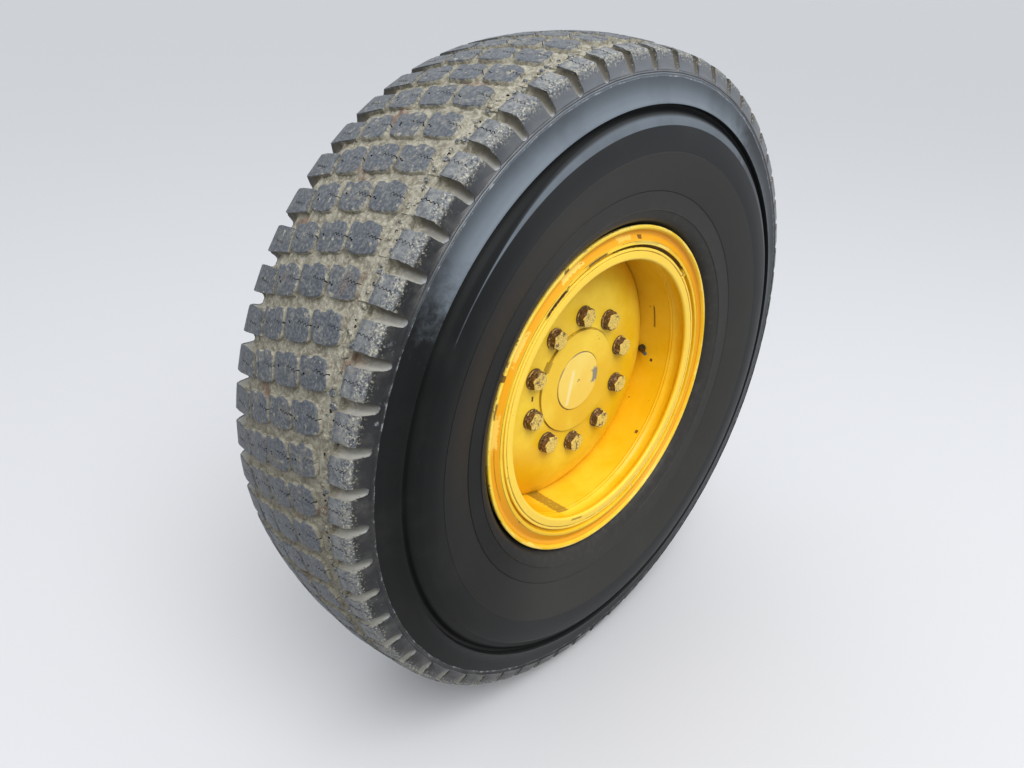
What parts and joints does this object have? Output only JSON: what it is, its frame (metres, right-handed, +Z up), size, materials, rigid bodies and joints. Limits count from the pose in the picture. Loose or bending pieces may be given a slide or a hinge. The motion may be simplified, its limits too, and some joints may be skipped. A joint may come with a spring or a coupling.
{
  "type": "motor grader wheel",
  "caption": "Motor grader drive wheel: lugged tyre on a multi-piece rim with a dished disc, bolted to a spindle that turns freely in its cast housing.",
  "frame": {"origin": "centre of the housing's bolting face, on the axle", "axes": "+Y along the axle into the machine, -Y out of the wheel's outer face, +Z up"},
  "size_m": [1.318, 0.5278, 1.318],
  "materials": {
    "tyre_rubber": "satin, worn, with dried mud in the grooves",
    "rim_paint": "yellow enamel, chipped and rusty at the edges",
    "cast_paint": "yellow enamel on cast steel",
    "rusty_steel": "rust through worn paint",
    "bright_steel": "machined and oiled"
  },
  "bodies": {
    "housing": {"housing": "cast_paint", "seal_carrier": "cast_paint", "outer_bearing": "bright_steel", "inner_bearing": "bright_steel", "drain_plugs": "bright_steel"},
    "wheel": {"tyre": "tyre_rubber", "rim_base": "rim_paint", "side_ring": "rim_paint", "lock_ring": "rim_paint", "rim_disc": "rim_paint", "spindle": "cast_paint", "spindle_cap": "cast_paint", "bearing_nut": "bright_steel", "washers": "rusty_steel", "wheel_bolts": "rusty_steel", "valve": "bright_steel"}
  },
  "joints": [
    {"name": "wheel_spin", "type": "hinge", "parent": "housing", "child": "wheel", "pos_m": [0, -0.226, 0], "axis": [0, 1, 0], "continuous": true}
  ]
}
